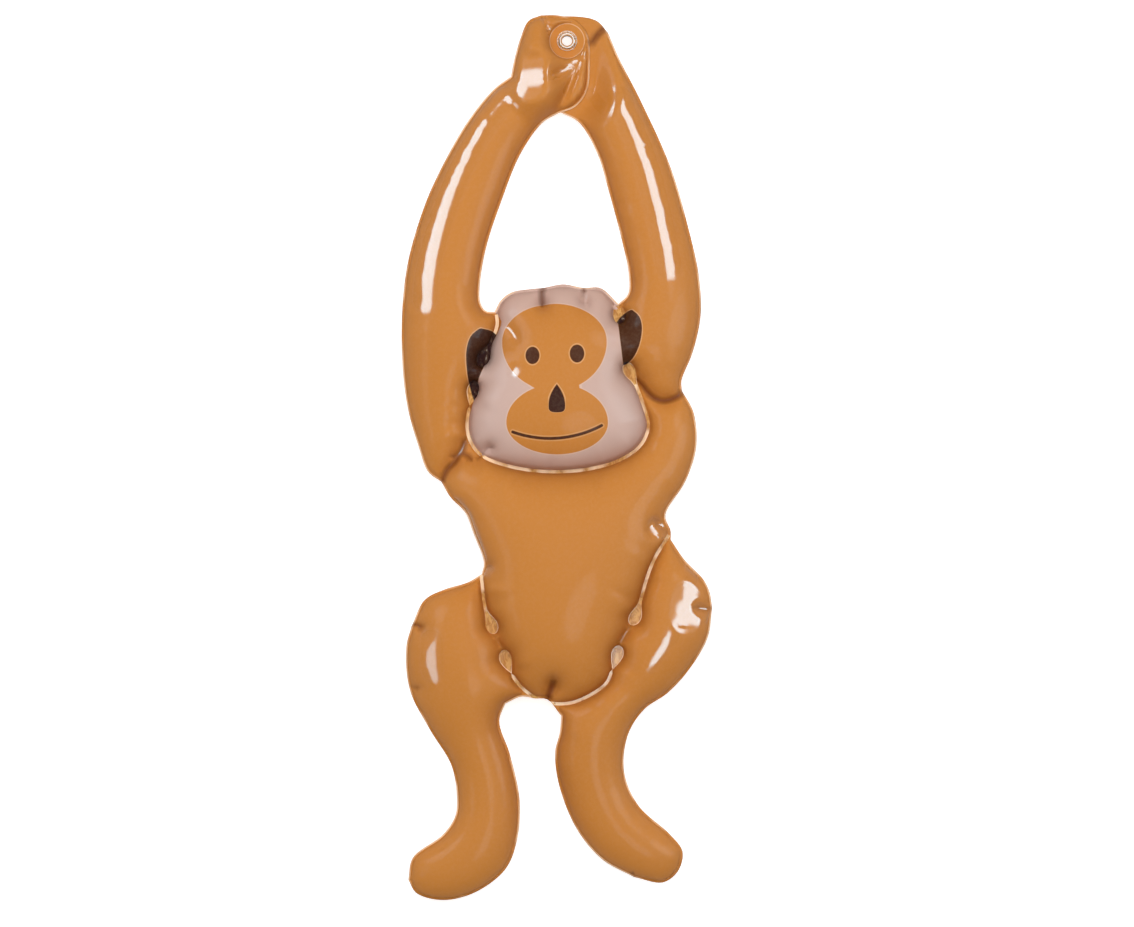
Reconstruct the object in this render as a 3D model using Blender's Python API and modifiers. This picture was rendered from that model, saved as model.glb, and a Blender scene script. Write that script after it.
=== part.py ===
"""Inflatable monkey for hanging up by its hands, lying on its back.

Two sheets of printed vinyl are welded together round the figure and along a few
lines inside it, and the air between them makes the form. The hands lie one over
the other, and a moulded eyelet through both joins them.

X runs to the right, Y from the feet to the hands, and Z up out of the chest.
"""

import math

import bmesh
import bpy
import numpy as np
from mathutils import Vector
from mathutils.geometry import delaunay_2d_cdt

# Driving dimensions, in metres
HEIGHT = 0.600  # from the feet to the top of the hands
FILM_PAIR = 0.0009  # two sheets of film, welded together
WELD_MARGIN = 0.0016  # weld outside the air chamber, all round the figure
SEAM_HALF_WIDTH = 0.0011  # weld lines inside the figure
DROP_HALF_WIDTH = 0.0042  # rounded drop that ends a weld line
DROP_LENGTH = 0.017
FULLNESS = 0.0290  # how far a wide chamber swells: its depth tends to 2.8 times this
CHEST_LEVEL = 0.0310  # height of the seam above the floor at the chest
LIMB_LEVEL = 0.0170  # and at the hands and feet
FLOOR_EASE = 0.0012  # how gently the film leaves the floor

EYELET_HOLE = 0.0034
EYELET_BARREL = 0.0042
EYELET_FLANGE = 0.0068
EYELET_FLANGE_THICK = 0.0011
EYELET_LIP_RADIUS = 0.0051
EYELET_LIP = 0.0006
EYELET_CLEARANCE = 0.0003
HAND_DISC = 0.0118  # welded disc round the eyelet
DISC_CLEARANCE = 0.0010  # least film between the disc and the edge weld
HAND_GAP = 0.0004  # between the two hands

CHEST_REACH = 0.045  # the seam lies at the chest's level within this of the body's axis
LIMB_REACH = 0.170  # and at the limbs' level beyond this
HAND_REACH = 0.026  # the forearms part over this length below the hands

# Fineness of the facets
STEP = 0.0088
NEAR_WELD = 0.0034
SEAM_STEP = 0.0075
FOLD_STEP = 0.0060
HOLE_SIDES = 20
DISC_SIDES = 30
EYELET_SIDES = 40

# Outline of the figure, in thousandths of its height from the middle
OUTLINE = {
    "left hand": [(-19, 499), (-33, 493), (-42, 474), (-49, 450), (-53, 430)],
    "left arm outside": [
        (-53, 430), (-72, 416), (-100, 382), (-129, 332), (-152, 280), (-171, 210), (-176, 130),
        (-170, 60), (-156, 9), (-146, -17), (-131, -28),
    ],
    "left flank": [(-131, -28), (-121, -45), (-104, -63), (-95, -86), (-83, -120), (-86, -132)],
    "left thigh": [(-86, -132), (-101, -141), (-127, -149), (-150, -161), (-165, -191)],
    "left shin": [
        (-165, -191), (-171, -215), (-167, -263), (-145, -307), (-120, -349), (-114, -387),
        (-116, -406), (-130, -427), (-164, -453), (-169, -478),
    ],
    "left foot": [
        (-169, -478), (-160, -493), (-131, -501), (-95, -493), (-60, -467), (-47, -437), (-43, -390),
        (-54, -336), (-66, -298), (-59, -278),
    ],
    "crotch": [(-59, -278), (-41, -270), (-26, -272), (-12, -273), (4, -292)],
    "right calf": [(4, -292), (2, -312), (-3, -332), (1, -369), (21, -420), (50, -455), (86, -475)],
    "right foot": [
        (86, -475), (119, -481), (136, -468), (141, -446), (126, -426), (91, -394), (75, -356),
        (79, -314), (97, -285), (124, -266), (147, -241), (169, -204), (174, -170),
    ],
    "right thigh": [(174, -170), (171, -152), (164, -138), (142, -115), (127, -93)],
    "right flank": [(127, -93), (127, -83), (121, -66), (144, -27), (156, 11), (153, 50), (140, 74)],
    "right arm outside": [
        (140, 74), (139, 85), (152, 118), (161, 160), (159, 205), (148, 256), (128, 326),
        (93, 404), (70, 449), (57, 479),
    ],
    "right hand": [
        (57, 479), (44, 493), (18, 498), (-9, 495), (-24, 476), (-27, 448), (-18, 415), (4, 389),
    ],
    "right arm inside": [
        (4, 389), (24, 378), (45, 342), (57, 302), (72, 245), (80, 205), (79, 183), (68, 172),
    ],
    "head top": [
        (68, 172), (48, 190), (29, 190), (6, 194), (-16, 190), (-27, 189), (-52, 185), (-64, 176),
        (-71, 163),
    ],
    "left arm inside": [
        (-71, 163), (-81, 164), (-87, 173), (-88, 190), (-81, 235), (-64, 288), (-42, 343), (-18, 377),
        (0, 388),
    ],
    "left hand edge": [
        (0, 388), (20, 396), (33, 414), (36, 446), (34, 476), (24, 491), (17, 495), (0, 499),
        (-19, 499),
    ],
}

RIGHT_ARM_CUT = 349  # where the right forearm, which lies under the left hand, is parted off

# Weld lines inside the figure, and which of their ends are rounded drops
HEAD_LEFT_UPPER = [(-69, 160), (-68, 149), (-74, 131), (-88, 102)]
HEAD_ROUND = [
    (-93, 85), (-98, 62), (-102, 36), (-98, 17), (-86, 2), (-60, -9), (-20, -16), (25, -15),
    (66, -5), (92, 12), (102, 34), (95, 62), (86, 85), (76, 106),
]
HEAD_RIGHT_UPPER = [(67, 170), (69, 161), (69, 150)]
HIP_LEFT = [(-86, -133), (-84, -152), (-81, -172), (-75, -187), (-71, -199)]
GROIN = [
    (-61, -217), (-58, -230), (-47, -252), (-33, -266), (-14, -276), (14, -277), (40, -266), (55, -254),
    (61, -240), (67, -222), (69, -212),
]
HIP_RIGHT = [(82, -189), (88, -178), (95, -155), (100, -137), (109, -114), (125, -88)]
# each line with its two ends: "drop" or "open"
SEAMS = [
    (HEAD_LEFT_UPPER, "open", "drop"),
    (HEAD_ROUND, "drop", "drop"),
    (HEAD_RIGHT_UPPER, "open", "drop"),
    (HIP_LEFT, "open", "drop"),
    (GROIN, "drop", "drop"),
    (HIP_RIGHT, "drop", "open"),
]

# Folds, each with its half width and its firmness
FOLDS = [
    ([(-131, -28), (-122, -10), (-112, 6), (-101, 26)], 8, 5.0),
    ([(-114, 5), (-98, 3)], 7, 3.0),
    ([(140, 68), (124, 62), (108, 62), (96, 72), (84, 92)], 9, 5.0),
    ([(-53, 430), (-58, 405), (-64, 382)], 7, 3.0),
    ([(-19, 499), (-19, 487), (-17, 474)], 6, 4.0),
    ([(24, 450), (12, 425), (-6, 394)], 8, 6.0),
    ([(-12, -273), (-5, -255), (-5, -240)], 6, 5.0),
    ([(-16, 190), (-17, 176)], 5, 4.0),
    ([(35, 190), (34, 176)], 4, 3.0),
    ([(-167, -191), (-150, -194)], 5, 2.5),
    ([(176, -170), (160, -170)], 5, 2.5),
    ([(-86, -127), (-74, -122)], 6, 4.0),
    ([(127, -86), (112, -76), (104, -66)], 7, 4.0),
]

EYELET_AT = (10.4, 470)
BODY_AXIS = [(0, -130), (0, 90)]

EYELET_LEVEL = LIMB_LEVEL + 0.0005
ORANGE = (0.60, 0.235, 0.045)
CLEAR = (0.80, 0.72, 0.62)


def at(point):
    """A point of the lists above in metres."""
    return np.array(point, float) * HEIGHT / 1000


def smooth_curve(points, step):
    """Evenly spaced points on a centripetal Catmull-Rom curve through the given ones."""
    given = [at(p) for p in points]
    ends = [2 * given[0] - given[1], *given, 2 * given[-1] - given[-2]]
    fine = []
    for a, b, c, d in zip(ends, ends[1:], ends[2:], ends[3:]):
        knots = [0.0]
        for p, q in ((a, b), (b, c), (c, d)):
            knots.append(knots[-1] + max(np.linalg.norm(q - p) ** 0.5, 1e-6))
        for t in np.linspace(knots[1], knots[2], 12, endpoint=False):
            near = [
                (knots[i + 1] - t) / (knots[i + 1] - knots[i]) * p
                + (t - knots[i]) / (knots[i + 1] - knots[i]) * q
                for i, (p, q) in enumerate(((a, b), (b, c), (c, d)))
            ]
            wide = [
                (knots[i + 2] - t) / (knots[i + 2] - knots[i]) * near[i]
                + (t - knots[i]) / (knots[i + 2] - knots[i]) * near[i + 1]
                for i in range(2)
            ]
            fine.append(
                (knots[2] - t) / (knots[2] - knots[1]) * wide[0]
                + (t - knots[1]) / (knots[2] - knots[1]) * wide[1]
            )
    fine.append(given[-1])
    return evenly(np.array(fine), step)


def evenly(line, step):
    """The same line with evenly spaced points, its two ends kept."""
    along = np.concatenate([[0], np.cumsum(np.linalg.norm(np.diff(line, axis=0), axis=1))])
    count = max(2, round(along[-1] / step) + 1)
    places = np.linspace(0, along[-1], count)
    return np.stack([np.interp(places, along, line[:, k]) for k in (0, 1)], axis=1)


def joined(*lines):
    """One line from several that follow each other."""
    return np.concatenate([line[:-1] for line in lines[:-1]] + [lines[-1]])


def clear_of_disc(line):
    """The same line, bowed out where it would come too near the disc round the eyelet."""
    away = line - at(EYELET_AT)
    gap = np.linalg.norm(away, axis=1)
    least = HAND_DISC + WELD_MARGIN + DISC_CLEARANCE
    return at(EYELET_AT) + away * (np.maximum(gap, least) / gap)[:, None]


def parted(line, level):
    """A line cut in two at the point nearest to a height."""
    k = int(np.argmin(abs(line[:, 1] - at((0, level))[1])))
    return line[: k + 1], line[k:]


def normals_of(line, closed):
    """Unit normals to the left of a line's way."""
    if closed:
        ahead, behind = np.roll(line, -1, axis=0), np.roll(line, 1, axis=0)
    else:
        ahead = np.concatenate([line[1:], line[-1:]])
        behind = np.concatenate([line[:1], line[:-1]])
    way = ahead - behind
    way /= np.maximum(np.linalg.norm(way, axis=1), 1e-9)[:, None]
    return np.stack([-way[:, 1], way[:, 0]], axis=1)


def distance_to(points, line):
    """Distance of each point from a line, and how far along the line its foot is."""
    best = np.full(len(points), np.inf)
    where = np.zeros(len(points))
    along = 0.0
    for a, b in zip(line, line[1:]):
        side = b - a
        length = max(np.linalg.norm(side), 1e-9)
        t = np.clip((points - a) @ side / length**2, 0, 1)
        gap = np.linalg.norm(points - a - t[:, None] * side, axis=1)
        nearer = gap < best
        best[nearer] = gap[nearer]
        where[nearer] = along + t[nearer] * length
        along += length
    return best, where


def inside(points, loop):
    """Which points lie in a closed loop."""
    found = np.zeros(len(points), bool)
    x, y = points[:, 0], points[:, 1]
    for (ax, ay), (bx, by) in zip(loop, np.roll(loop, -1, axis=0)):
        if ay == by:
            continue
        crosses = ((ay > y) != (by > y)) & (x < (bx - ax) * (y - ay) / (by - ay) + ax)
        found ^= crosses
    return found


def closed_line(loop):
    return np.concatenate([loop, loop[:1]])


def circle(centre, radius, count):
    turns = 2 * math.pi * np.arange(count) / count
    return centre + radius * np.stack([np.cos(turns), np.sin(turns)], axis=1)


def drop_width(distance):
    """Half width of a rounded drop at a distance from its tip."""
    bulb = 0.36 * DROP_LENGTH
    if distance < bulb:
        return DROP_HALF_WIDTH * math.sqrt(1 - (1 - distance / bulb) ** 2)
    rest = min(1, (distance - bulb) / (DROP_LENGTH - bulb))
    return SEAM_HALF_WIDTH + (DROP_HALF_WIDTH - SEAM_HALF_WIDTH) * (1 - rest * rest * (3 - 2 * rest))


def seam_band(points, ends):
    """Centre line of a weld line, its half widths, and its outline as a closed band."""
    fine = smooth_curve(points, 0.0005)
    along = np.concatenate([[0], np.cumsum(np.linalg.norm(np.diff(fine, axis=0), axis=1))])
    length = along[-1]
    marks = DROP_LENGTH * np.array([0, 0.12, 0.36, 0.68, 1])
    first = marks if ends[0] == "drop" else np.array([0, SEAM_STEP])
    last = marks if ends[1] == "drop" else np.array([0, SEAM_STEP])
    count = max(2, round((length - first[-1] - last[-1]) / SEAM_STEP) + 1)
    middle = np.linspace(first[-1], length - last[-1], count)
    places = np.concatenate([first[:-1], middle, (length - last[:-1])[::-1]])
    line = np.stack([np.interp(places, along, fine[:, k]) for k in (0, 1)], axis=1)
    width = np.array([
        max(
            SEAM_HALF_WIDTH if "open" in ends or min(p, length - p) > DROP_LENGTH else 0,
            drop_width(p) if ends[0] == "drop" and p < DROP_LENGTH else 0,
            drop_width(length - p) if ends[1] == "drop" and length - p < DROP_LENGTH else 0,
        )
        for p in places
    ])
    tips = np.array([
        (k == 0 and ends[0] == "drop") or (k == len(places) - 1 and ends[1] == "drop")
        for k in range(len(places))
    ])
    width[tips] = 0
    side = normals_of(line, closed=False)
    upper = line + side * width[:, None]
    lower = (line - side * width[:, None])[~tips]
    return line, width, np.concatenate([upper, lower[::-1]])


class Sheet:
    """A flat sheet as points and triangles, cut to a welded edge and to a free one."""

    def __init__(self, edge, cut, seams, hole, disc, folds):
        inward = normals_of(edge, closed=False)
        margin = edge + inward * WELD_MARGIN
        margin[0], margin[-1] = cut[-2], cut[1]
        near = edge + inward * (WELD_MARGIN + NEAR_WELD)
        outline = np.concatenate([edge, cut[1:-1]])
        self.outline = outline
        bands = [band for _, _, band in seams]
        points, edges, groups = [], [], {}
        for name, line, closed in (
            ("outline", outline, True),
            ("margin", margin[1:-1], False),
            ("hole", hole, True),
            ("disc", disc, True),
            *((f"band {k}", band, True) for k, band in enumerate(bands)),
            *((f"fold {k}", fold, False) for k, fold in enumerate(folds)),
        ):
            start = len(points)
            count = len(line)
            groups[name] = np.arange(start, start + count)
            edges += [(start + k, start + k + 1) for k in range(count - 1)]
            if closed:
                edges.append((start + count - 1, start))
            points += [tuple(p) for p in line]
        inner_cut = groups["outline"][len(edge) :]
        edges.append((inner_cut[-1], groups["margin"][0]))
        edges.append((groups["margin"][-1], inner_cut[0]))
        fixed = np.array(points)
        lines = [closed_line(outline), margin, *map(closed_line, bands), closed_line(disc), *folds]
        kept = np.empty((0, 2))
        for extra, from_fixed, from_kept in (
            (near, 0.55 * NEAR_WELD, 0.45 * STEP),
            (lattice(outline), 0.50 * STEP, 0.52 * STEP),
        ):
            extra = extra[inside(extra, outline)]
            for line in lines:
                extra = extra[distance_to(extra, line)[0] > 0.95 * min(from_fixed, NEAR_WELD)]
            gap = np.array([np.linalg.norm(fixed - p, axis=1).min() for p in extra])
            extra = extra[gap > from_fixed]
            for p in extra:
                if not len(kept) or np.linalg.norm(kept - p, axis=1).min() > from_kept:
                    kept = np.concatenate([kept, [p]])
        everything = [Vector(p) for p in points] + [Vector(p) for p in kept]
        out = delaunay_2d_cdt(everything, [(int(a), int(b)) for a, b in edges], [], 0, 1e-7)
        self.points = np.array([tuple(p) for p in out[0]])
        faces = np.array(out[2])
        middles = self.points[faces].mean(axis=1)
        self.faces = turned_up(self.points, faces[inside(middles, outline) & ~inside(middles, hole)])
        place = {given: k for k, found in enumerate(out[3]) for given in found}
        self.place = {name: np.array([place[int(g)] for g in group]) for name, group in groups.items()}
        self.welded = distance_to(self.points, edge)[0] < 1.05 * WELD_MARGIN
        self.welded |= distance_to(self.points, closed_line(disc))[0] < 1e-6
        self.welded |= inside(self.points, disc)
        for k, band in enumerate(bands):
            self.welded |= inside(self.points, band)
            self.welded[self.place[f"band {k}"]] = True
        self.welded[self.place["margin"]] = True


def lattice(outline):
    """Points in a triangular pattern over an outline's box."""
    low, high = outline.min(axis=0), outline.max(axis=0)
    height = STEP * math.sqrt(3) / 2
    rows = []
    for k in range(int((high[1] - low[1]) / height) + 1):
        xs = np.arange(low[0] + (k % 2) * STEP / 2, high[0], STEP)
        rows.append(np.stack([xs, np.full(len(xs), low[1] + k * height)], axis=1))
    return np.concatenate(rows)


def turned_up(points, faces):
    """Faces that look up, the empty ones left out."""
    a, b, c = (points[faces[:, k]] for k in range(3))
    area = (b[:, 0] - a[:, 0]) * (c[:, 1] - a[:, 1]) - (b[:, 1] - a[:, 1]) * (c[:, 0] - a[:, 0])
    faces, area = faces[abs(area) > 1e-8], area[abs(area) > 1e-8]
    return np.where((area > 0)[:, None], faces, faces[:, ::-1])


def swell(points, faces, welded, hold):
    """Half the depth of the air chamber over each point.

    A soap film over the sheet, held down at the welds and along the folds, has
    the height u, and the root of 2u is round over a narrow limb.
    """
    a, b, c = (points[faces[:, k]] for k in range(3))
    count = len(points)
    area = 0.5 * ((b[:, 0] - a[:, 0]) * (c[:, 1] - a[:, 1]) - (b[:, 1] - a[:, 1]) * (c[:, 0] - a[:, 0]))
    ends, weights = [], []
    for k, (p, q, r) in enumerate(((a, b, c), (b, c, a), (c, a, b))):
        weights.append(np.einsum("ij,ij->i", q - p, r - p) / (4 * area))
        ends.append(faces[:, [(k + 1) % 3, (k + 2) % 3]])
    ends, weights = np.concatenate(ends), np.clip(np.concatenate(weights), 0.02, None)
    lump = np.bincount(faces.ravel(), np.repeat(area / 3, 3), count)
    diagonal = np.bincount(ends[:, 0], weights, count) + np.bincount(ends[:, 1], weights, count)
    diagonal += lump * (1 / FULLNESS**2 + hold)
    diagonal = np.maximum(diagonal, 1e-12)
    free = ~welded

    def applied(u):
        across = np.bincount(ends[:, 0], weights * u[ends[:, 1]], count)
        across += np.bincount(ends[:, 1], weights * u[ends[:, 0]], count)
        return np.where(free, diagonal * u - across, 0)

    u = np.zeros(count)
    left = np.where(free, lump, 0)
    way = left / diagonal
    size = left @ way
    first = size
    for _ in range(900):
        out = applied(way)
        share = size / (way @ out)
        u += share * way
        left -= share * out
        fresh = left @ (left / diagonal)
        if fresh < 1e-14 * first:
            break
        way = left / diagonal + fresh / size * way
        size = fresh
    return np.sqrt(2 * np.clip(u, 0, None))


def step_between(value, low, high):
    t = np.clip((value - low) / (high - low), 0, 1)
    return t * t * (3 - 2 * t)


def off_the_floor(height):
    """height, but never under the floor, with a soft turn where it leaves it."""
    turn = (height + FLOOR_EASE) ** 2 / (4 * FLOOR_EASE)
    return np.where(height < -FLOOR_EASE, 0, np.where(height > FLOOR_EASE, height, turn))


def held_by_folds(points):
    """How firmly the folds hold the film down at each point."""
    hold = np.zeros(len(points))
    for line, half_width, firmness in FOLDS:
        width = half_width * HEIGHT / 1000
        gap, _ = distance_to(points, smooth_curve(line, FOLD_STEP))
        hold = np.maximum(hold, firmness / width**2 * np.clip(1 - (gap / width) ** 2, 0, 1) ** 2)
    return hold


def seam_level(points):
    """Height of the seam above the floor: highest at the chest."""
    gap, _ = distance_to(points, np.array([at(p) for p in BODY_AXIS]))
    return LIMB_LEVEL + (CHEST_LEVEL - LIMB_LEVEL) * (1 - step_between(gap, CHEST_REACH, LIMB_REACH))


def figure():
    """Points and faces of the inflated body."""
    lines = {name: clear_of_disc(smooth_curve(points, STEP)) for name, points in OUTLINE.items()}
    outer_low, outer_high = parted(lines["right arm outside"], RIGHT_ARM_CUT)
    inner_high, inner_low = parted(lines["right arm inside"], RIGHT_ARM_CUT)
    across = inner_low[0] - outer_low[-1]
    step_in = across / np.linalg.norm(across) * WELD_MARGIN
    middle = evenly(np.array([outer_low[-1] + step_in, inner_low[0] - step_in]), STEP)
    cut = np.concatenate([outer_low[-1:], middle, inner_low[:1]])
    main_edge = joined(
        inner_low,
        lines["head top"], lines["left arm inside"], lines["left hand edge"], lines["left hand"],
        lines["left arm outside"], lines["left flank"], lines["left thigh"], lines["left shin"],
        lines["left foot"], lines["crotch"], lines["right calf"], lines["right foot"],
        lines["right thigh"], lines["right flank"],
        outer_low,
    )
    forearm_edge = joined(outer_high, lines["right hand"], inner_high)
    hole = circle(at(EYELET_AT), EYELET_BARREL + EYELET_CLEARANCE, HOLE_SIDES)
    disc = circle(at(EYELET_AT), HAND_DISC, DISC_SIDES)
    seams = [seam_band(points, ends) for points, *ends in SEAMS]
    folds = [smooth_curve(line, FOLD_STEP)[1:-1] for line, _, _ in FOLDS]
    main = Sheet(main_edge, cut, seams, hole, disc, folds)
    forearm = Sheet(forearm_edge, cut[::-1], [], hole, disc, [])

    # The forearm's points follow the main sheet's, and those of the cut are shared
    shift = len(main.points)
    merged = np.arange(len(forearm.points)) + shift
    main_cut = closed_line(main.place["outline"])[len(main_edge) - 1 :]
    forearm_cut = closed_line(forearm.place["outline"])[len(forearm_edge) - 1 :]
    merged[forearm_cut[::-1]] = main_cut
    points = np.concatenate([main.points, forearm.points])
    faces = np.concatenate([main.faces, merged[forearm.faces]])
    welded = np.concatenate([main.welded, forearm.welded])
    is_forearm = np.arange(len(points)) >= shift

    half = FILM_PAIR / 2 + swell(points, faces, welded, held_by_folds(points))
    level = seam_level(points)
    over, _ = distance_to(points, lines["right hand"])
    over = np.where(inside(points, forearm.outline) & (points[:, 1] > at((0, 360))[1]), 0, over)
    under, _ = distance_to(points, lines["left hand edge"])
    under = np.where(inside(points, main.outline) & (points[:, 1] > at((0, 375))[1]), 0, under)
    over = 1 - step_between(over, 0.002, HAND_REACH)
    under = 1 - step_between(under, 0.002, HAND_REACH)
    level = np.where(
        is_forearm,
        level + under * (EYELET_LEVEL - HAND_GAP / 2 - half - level),
        level + over * (EYELET_LEVEL + HAND_GAP / 2 + half - level),
    )
    front = np.column_stack([points, level + half])
    back = np.column_stack([points, off_the_floor(level - half)])
    count = len(points)

    disc_main = inside(points[faces].mean(axis=1), disc)
    from_main = np.arange(len(faces)) < len(main.faces)
    top = faces[~(disc_main & ~from_main)]
    under_side = faces[~(disc_main & from_main)][:, ::-1] + count
    walls = []
    rim_main, rim_forearm = main.place["hole"], merged[forearm.place["hole"]]
    disc_upper, disc_lower = main.place["disc"], merged[forearm.place["disc"]]
    for k in range(len(hole)):
        n = (k + 1) % len(hole)
        walls.append((rim_main[k], rim_main[n], rim_forearm[n] + count, rim_forearm[k] + count))
    for k in range(len(disc)):
        n = (k + 1) % len(disc)
        walls.append((disc_upper[n] + count, disc_upper[k] + count, disc_lower[k], disc_lower[n]))
    at_hole = {*rim_main.tolist(), *rim_forearm.tolist()}
    ways = set()
    for a, b, c in faces.tolist():
        ways |= {(a, b), (b, c), (c, a)}
    for a, b in sorted(ways):
        if (b, a) not in ways and not {a, b} <= at_hole:
            walls.append((b, a, a + count, b + count))
    points = np.concatenate([front, back])
    return points, [*map(tuple, top.tolist()), *map(tuple, under_side.tolist()), *walls]


def eyelet(collection):
    """The moulded ring through both hands: a flange on each side, with a raised lip in front."""
    half_slab = HAND_GAP / 2 + FILM_PAIR
    under = half_slab + EYELET_CLEARANCE
    top = under + EYELET_FLANGE_THICK
    lip = top + EYELET_LIP
    profile = [
        (EYELET_HOLE, lip), (EYELET_LIP_RADIUS, lip), (EYELET_LIP_RADIUS, top), (EYELET_FLANGE, top),
        (EYELET_FLANGE, under), (EYELET_BARREL, under), (EYELET_BARREL, -under), (EYELET_FLANGE, -under),
        (EYELET_FLANGE, -top), (EYELET_HOLE, -top),
    ]
    corners = len(profile)
    mesh = bpy.data.meshes.new("hanging_eyelet")
    mesh.from_pydata([(r, 0, z) for r, z in profile], [(k, (k + 1) % corners) for k in range(corners)], [])
    made = bpy.data.objects.new("hanging_eyelet", mesh)
    mesh.materials.append(material("clear_vinyl", CLEAR, 0.25, 0.6))
    screw = made.modifiers.new("turned", "SCREW")
    screw.axis = "Z"
    screw.angle = 2 * math.pi
    screw.steps = EYELET_SIDES
    screw.render_steps = EYELET_SIDES
    screw.use_merge_vertices = True
    screw.merge_threshold = 0.00001
    collection.objects.link(made)
    return made


def material(name, colour, roughness, transmission=0.0):
    made = bpy.data.materials.new(name)
    made.use_nodes = True
    shader = made.node_tree.nodes["Principled BSDF"]
    shader.inputs["Base Color"].default_value = (*colour, 1)
    shader.inputs["Roughness"].default_value = roughness
    shader.inputs["Metallic"].default_value = 0.0
    shader.inputs["Transmission Weight"].default_value = transmission
    made.diffuse_color = (*colour, 1)
    return made


def inflated_body(collection):
    """The body, with its box centred over the origin and its back on the floor."""
    points, faces = figure()
    used = sorted({k for face in faces for k in face})
    place = {k: n for n, k in enumerate(used)}
    low, high = points[used].min(axis=0), points[used].max(axis=0)
    middle = np.array([(low[0] + high[0]) / 2, (low[1] + high[1]) / 2, low[2]])
    mesh = bpy.data.meshes.new("inflated_body")
    placed = [tuple(points[k] - middle) for k in used]
    mesh.from_pydata(placed, [], [tuple(place[k] for k in face) for face in faces])
    bm = bmesh.new()
    bm.from_mesh(mesh)
    bmesh.ops.triangulate(bm, faces=[f for f in bm.faces if len(f.verts) > 3])
    bmesh.ops.recalc_face_normals(bm, faces=bm.faces)
    bm.to_mesh(mesh)
    bm.free()
    mesh.materials.append(material("orange_film", ORANGE, 0.28))
    mesh.shade_smooth()
    mesh.set_sharp_from_angle(angle=math.radians(40))
    made = bpy.data.objects.new("inflated_body", mesh)
    collection.objects.link(made)
    return middle


def main():
    for old in list(bpy.data.objects):
        bpy.data.objects.remove(old)
    collection = bpy.data.collections.new("inflatable_monkey")
    bpy.context.scene.collection.children.link(collection)
    middle = inflated_body(collection)
    ring = eyelet(collection)
    ring.location = Vector((*at(EYELET_AT), EYELET_LEVEL)) - Vector(middle)


main()
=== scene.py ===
"""The looks of the inflatable monkey: its film, welds, print and eyelet, and the studio round it."""

import math

import bpy
import numpy as np
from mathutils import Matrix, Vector
from mathutils.geometry import delaunay_2d_cdt


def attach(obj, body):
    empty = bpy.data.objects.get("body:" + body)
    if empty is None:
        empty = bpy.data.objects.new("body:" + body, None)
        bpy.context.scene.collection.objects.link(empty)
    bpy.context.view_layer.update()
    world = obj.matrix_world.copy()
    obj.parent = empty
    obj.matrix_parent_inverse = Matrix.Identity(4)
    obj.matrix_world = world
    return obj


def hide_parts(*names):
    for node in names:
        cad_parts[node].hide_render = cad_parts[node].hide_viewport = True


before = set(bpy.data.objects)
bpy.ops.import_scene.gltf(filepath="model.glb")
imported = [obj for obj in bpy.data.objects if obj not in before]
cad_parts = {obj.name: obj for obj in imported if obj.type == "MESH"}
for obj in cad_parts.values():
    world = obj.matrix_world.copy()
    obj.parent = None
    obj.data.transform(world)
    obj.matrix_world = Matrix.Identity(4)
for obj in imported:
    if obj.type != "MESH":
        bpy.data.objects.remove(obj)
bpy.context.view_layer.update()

# Sizes in metres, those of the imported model
HEIGHT = 0.600
WELD_MARGIN = 0.0016
SEAM_HALF_WIDTH = 0.0011
DROP_HALF_WIDTH = 0.0042
DROP_LENGTH = 0.017
FULLNESS = 0.0290
CHEST_LEVEL = 0.0310
LIMB_LEVEL = 0.0170
FLOOR_EASE = 0.0012
EYELET_HOLE = 0.0034
EYELET_BARREL = 0.0042
EYELET_FLANGE = 0.0068
EYELET_FLANGE_THICK = 0.0011
EYELET_LIP_RADIUS = 0.0051
EYELET_LIP = 0.0006
EYELET_CLEARANCE = 0.0003
HAND_DISC = 0.0118
DISC_CLEARANCE = 0.0010
HAND_GAP = 0.0004
CHEST_REACH = 0.045
LIMB_REACH = 0.170
HAND_REACH = 0.026
SLAB = 0.0009  # half of the joined hands' four films at the eyelet

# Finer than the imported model
FILM_PAIR = 0.0007
STEP = 0.0025
SEAM_STEP = 0.0024
FOLD_STEP = 0.0016
FINE_STEP = 0.0005
RINGS = (0.0012, 0.0032)  # rows of points beside the welds and folds
HOLE_SIDES = 32
DISC_SIDES = 48
EYELET_SIDES = 72
EYELET_EDGE = 0.00028  # how far the ring's rounded edges are cut back
DROP_BULB = 0.36  # share of a drop's length up to its widest place
DROP_MARKS = (0, 0.03, 0.10, 0.20, 0.32, 0.45, 0.60, 0.78, 1)  # where it has points
HAND_EASE = 0.002
FLAT_EASE = 0.0003  # how softly a flat meets the film round it

# Small puckers beside the welds: depth as a share of the film's rise, reach, wavelengths
PUCKER = 0.16
PUCKER_REACH = 0.0055
PUCKER_WAVES = (0.0042, 0.0085)
PUCKER_PATCHES = 0.05  # over what length they come and go
SEAM_PUCKER = 0.32
SEAM_PUCKER_REACH = 0.0070
SEAM_PUCKER_WAVES = (0.0052, 0.011)
FOREARM_START = 5  # keeps its noise apart from the main edge's

# The solver's limits
WEIGHT_LIMITS = (0.02, 20)
MOST_ROUNDS = 1500
ERROR_LEFT = 1e-13  # share of the first error

FRONT, BACK, WELD = 0, 1, 2  # materials of the film
FARTHEST = 12  # millimetres; the longest distance that the print reads

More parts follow.
